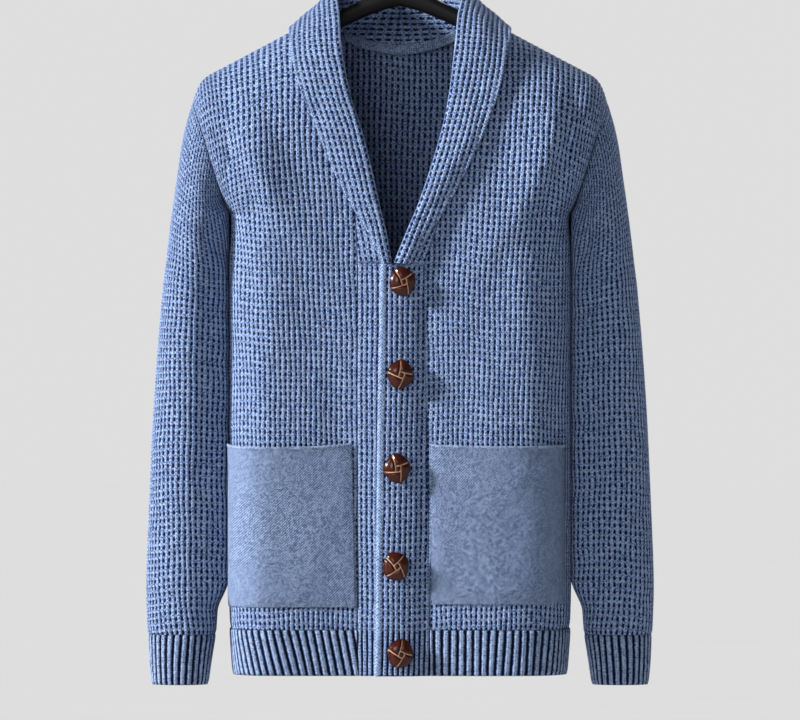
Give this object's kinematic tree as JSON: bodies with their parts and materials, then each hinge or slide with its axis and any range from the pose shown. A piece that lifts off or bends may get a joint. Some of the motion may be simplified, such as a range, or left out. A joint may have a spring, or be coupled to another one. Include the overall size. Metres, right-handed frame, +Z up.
{
  "type": "shawl collar cardigan on a hanger",
  "caption": "Buttoned waffle-knit cardigan with a shawl collar, ribbed hem and cuffs and two patch pockets, filled out and hanging on a broad plastic hanger with a hook.",
  "frame": {"origin": "inside of the hook's crown, where the hanger rests on a rail", "axes": "+Z up, +X to the viewer's right (the wearer's left), -Y to the front"},
  "size_m": [0.5358, 0.2014, 0.8271],
  "materials": {
    "knit": "soft matt waffle knit, light blue, slightly heathered",
    "jersey": "fine plain jersey, light blue",
    "button": "glossy dark brown woven knot with lighter worn strand edges",
    "hanger": "smooth black moulded plastic"
  },
  "bodies": {
    "root": {"front_left": "knit", "front_right": "knit", "back": "knit", "hem_front_left": "knit", "hem_front_right": "knit", "hem_back": "knit", "sleeve_left": "knit", "sleeve_right": "knit", "cuff_left": "knit", "cuff_right": "knit", "band_right": "knit", "band_left": "knit", "collar_left": "knit", "collar_right": "knit", "pocket_left": "jersey", "pocket_right": "jersey", "neck_tape": "jersey", "hanger": "hanger", "button_1": "button", "button_2": "button", "button_3": "button", "button_4": "button", "button_5": "button"}
  },
  "joints": []
}
